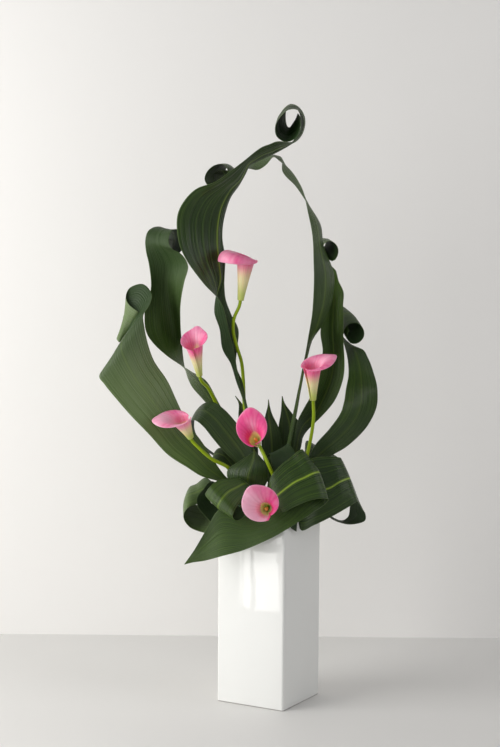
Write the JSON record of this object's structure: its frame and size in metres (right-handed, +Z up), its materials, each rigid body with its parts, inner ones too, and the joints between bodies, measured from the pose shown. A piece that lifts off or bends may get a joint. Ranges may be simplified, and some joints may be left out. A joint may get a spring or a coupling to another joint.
{
  "type": "ikebana arrangement",
  "caption": "Ikebana arrangement of broad rolled and looped leaves with calla lilies, standing in soaked foam in a tall square vase.",
  "frame": {"origin": "centre of the vase's base, on the surface it stands on", "axes": "+Z up; -Y towards the viewer, the arrangement's front; +X to the viewer's right"},
  "size_m": [0.4336, 0.2186, 0.9404],
  "materials": {
    "glaze": "white glazed ceramic, glossy",
    "foam": "matt soaked floral foam",
    "leaf": "dark green leaf with a waxy sheen",
    "stem": "smooth yellow-green stem",
    "spathe": "velvety pink petal, cream at its foot",
    "spadix": "matt orange, finely beaded"
  },
  "bodies": {
    "root": {"vase": "glaze", "foam": "foam", "leaf_tall_left": "leaf", "leaf_tall_right": "leaf", "leaf_mid_left": "leaf", "leaf_low_left": "leaf", "leaf_mid_right": "leaf", "leaf_low_right": "leaf", "leaf_loop_back": "leaf", "leaf_front": "leaf", "leaf_loop_right": "leaf", "leaf_loop_left": "leaf", "leaf_loop_inner": "leaf", "leaf_loop_front": "leaf", "leaf_centre": "leaf", "leaf_centre_roll": "leaf", "leaf_back_right": "leaf", "leaf_back_left": "leaf", "leaf_point_left": "leaf", "leaf_point_mid": "leaf", "leaf_point_right": "leaf", "leaf_rim_roll": "leaf", "calla_1_stem": "stem", "calla_1_spathe": "spathe", "calla_1_spadix": "spadix", "calla_2_stem": "stem", "calla_2_spathe": "spathe", "calla_2_spadix": "spadix", "calla_3_stem": "stem", "calla_3_spathe": "spathe", "calla_3_spadix": "spadix", "calla_4_stem": "stem", "calla_4_spathe": "spathe", "calla_4_spadix": "spadix", "calla_5_stem": "stem", "calla_5_spathe": "spathe", "calla_5_spadix": "spadix", "calla_6_stem": "stem", "calla_6_spathe": "spathe", "calla_6_spadix": "spadix"}
  },
  "joints": []
}
